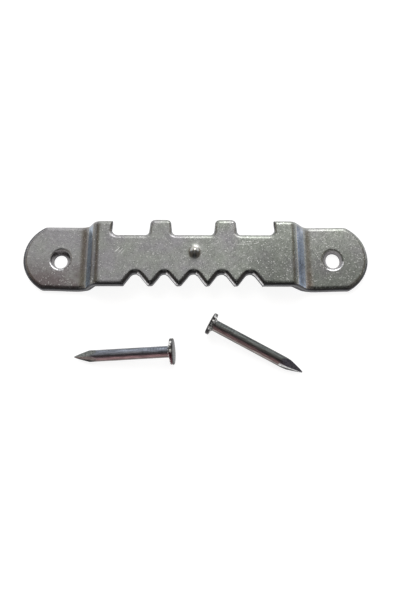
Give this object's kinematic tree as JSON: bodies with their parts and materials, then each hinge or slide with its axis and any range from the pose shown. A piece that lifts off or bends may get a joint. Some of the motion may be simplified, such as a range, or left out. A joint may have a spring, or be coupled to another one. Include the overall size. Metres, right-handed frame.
{
  "type": "sawtooth picture hanger",
  "caption": "Small stamped steel picture hanger plate with a raised saw-toothed and notched strip between holed end tabs, and its loose wire nails lying in front.",
  "frame": {"origin": "midway between the two nail holes, on the plane that the two end tabs lie on", "axes": "+X along the plate, +Y from the saw-toothed edge to the notched edge, +Z out of the plate's face, up from the table"},
  "size_m": [0.045, 0.0198, 0.0034],
  "materials": {
    "plate_steel": "zinc plated sheet steel, satin with fine sparkle",
    "nail_steel": "bright zinc plated wire, streaked"
  },
  "bodies": {
    "plate": {"hanger_plate": "plate_steel"},
    "left_nail": {"nail_left": "nail_steel"},
    "right_nail": {"nail_right": "nail_steel"}
  },
  "joints": [
    {"name": "nail_left_lift", "type": "slide", "parent": "plate", "child": "left_nail", "axis": [0, 0, 1], "range_m": [0, 0.03]},
    {"name": "nail_right_lift", "type": "slide", "parent": "plate", "child": "right_nail", "axis": [0, 0, 1], "range_m": [0, 0.03]}
  ]
}
